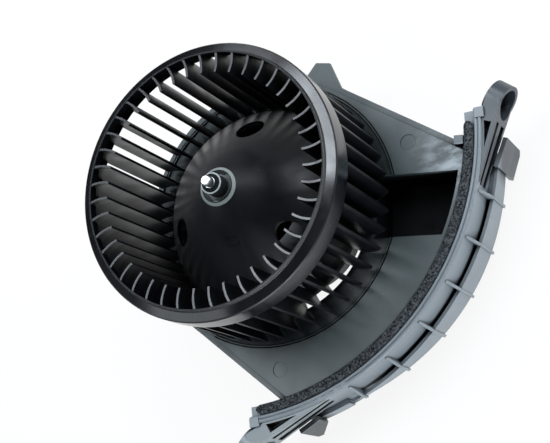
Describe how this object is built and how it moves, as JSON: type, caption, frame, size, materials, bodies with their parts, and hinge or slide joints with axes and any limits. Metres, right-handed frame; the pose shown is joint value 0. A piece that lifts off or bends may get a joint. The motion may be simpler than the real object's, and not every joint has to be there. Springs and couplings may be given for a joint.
{
  "type": "heater blower motor",
  "caption": "Heater blower motor: squirrel-cage impeller on a motor held in a slide-in base plate with a foam-sealed curved flange and two screw arms.",
  "frame": {"origin": "centre of the motor cup's flat rear face, on the shaft axis", "axes": "+Z along the shaft towards the impeller's open end, +X the way the unit is pulled out of its housing, towards the curved flange"},
  "size_m": [0.1975, 0.253, 0.126],
  "materials": {
    "impeller_plastic": "satin moulded",
    "base_plastic": "satin moulded",
    "motor_plastic": "moulded",
    "foam": "open-cell foam",
    "rubber": "moulded",
    "zinc_steel": "zinc plated",
    "shaft_steel": "ground",
    "copper": "enamelled wire",
    "bronze": "sintered",
    "ferrite": "sintered",
    "carbon": "pressed carbon"
  },
  "bodies": {
    "base": {"base_plate": "base_plastic", "motor_cup": "base_plastic", "duct_trough": "base_plastic", "flange_wall": "base_plastic", "arm_upper": "base_plastic", "arm_lower": "base_plastic", "foam_seal": "foam", "retainer_ring": "zinc_steel", "screw_a": "zinc_steel", "screw_b": "zinc_steel", "screw_c": "zinc_steel", "isolator_ring": "rubber", "rear_pad": "rubber", "motor_can": "zinc_steel", "end_cap": "motor_plastic", "magnet_a": "ferrite", "magnet_b": "ferrite", "magnet_clip_a": "shaft_steel", "magnet_clip_b": "shaft_steel", "bush_front": "bronze", "bush_rear": "bronze", "brush_card": "motor_plastic", "brush_holder_a": "bronze", "brush_holder_b": "bronze", "brush_a": "carbon", "brush_b": "carbon", "brush_spring_a": "shaft_steel", "brush_spring_b": "shaft_steel", "choke_a": "copper", "choke_b": "copper", "socket": "motor_plastic", "terminal_a": "bronze", "terminal_b": "bronze"},
    "rotor": {"shaft": "shaft_steel", "armature_core": "zinc_steel", "winding": "copper", "commutator": "copper", "washer_front": "shaft_steel", "washer_rear": "shaft_steel", "hub_sleeve": "motor_plastic", "impeller": "impeller_plastic"}
  },
  "joints": [
    {"name": "impeller_spin", "type": "hinge", "parent": "base", "child": "rotor", "pos_m": [0, 0, 0], "axis": [0, 0, 1], "continuous": true}
  ]
}
